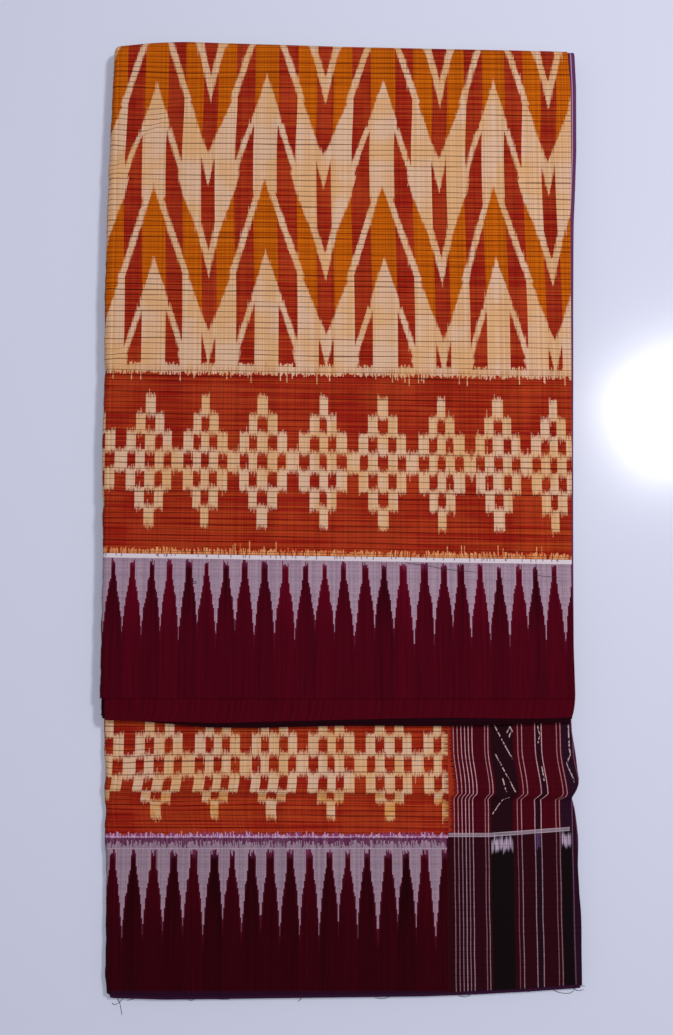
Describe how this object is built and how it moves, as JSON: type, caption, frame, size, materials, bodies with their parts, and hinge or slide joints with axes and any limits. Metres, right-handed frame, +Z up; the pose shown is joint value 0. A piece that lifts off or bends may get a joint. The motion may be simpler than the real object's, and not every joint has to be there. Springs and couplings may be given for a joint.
{
  "type": "folded handwoven ikat saree",
  "caption": "Cotton ikat saree folded into a flat packet, its far part turned over as a flap, with a chevron field, a lattice band, a spiked temple border and a striped end piece in view.",
  "frame": {"origin": "middle of the packet's footprint, on the surface it lies on", "axes": "+Z up out of the flap's face, +Y along the packet towards the turned-over fold, +X towards the layered edge"},
  "size_m": [0.354, 0.7061, 0.0188],
  "materials": {
    "body_ikat": "matte handloom cotton, weft ikat in cream, ochre and rust, with thin dark warp lines",
    "border_maroon": "matte handloom cotton, maroon with grey-lilac temple spikes",
    "pallu_stripes": "matte handloom cotton, maroon and black with thin pinkish stripes and extra-weft dashes",
    "inner_cloth": "matte cotton, dark purple edges of the folded layers"
  },
  "bodies": {
    "root": {"hidden_layers": "inner_cloth", "back_face": "body_ikat", "lower_face": "body_ikat", "pallu_face": "pallu_stripes", "second_leaf": "border_maroon", "flap_face": "body_ikat"}
  },
  "joints": []
}
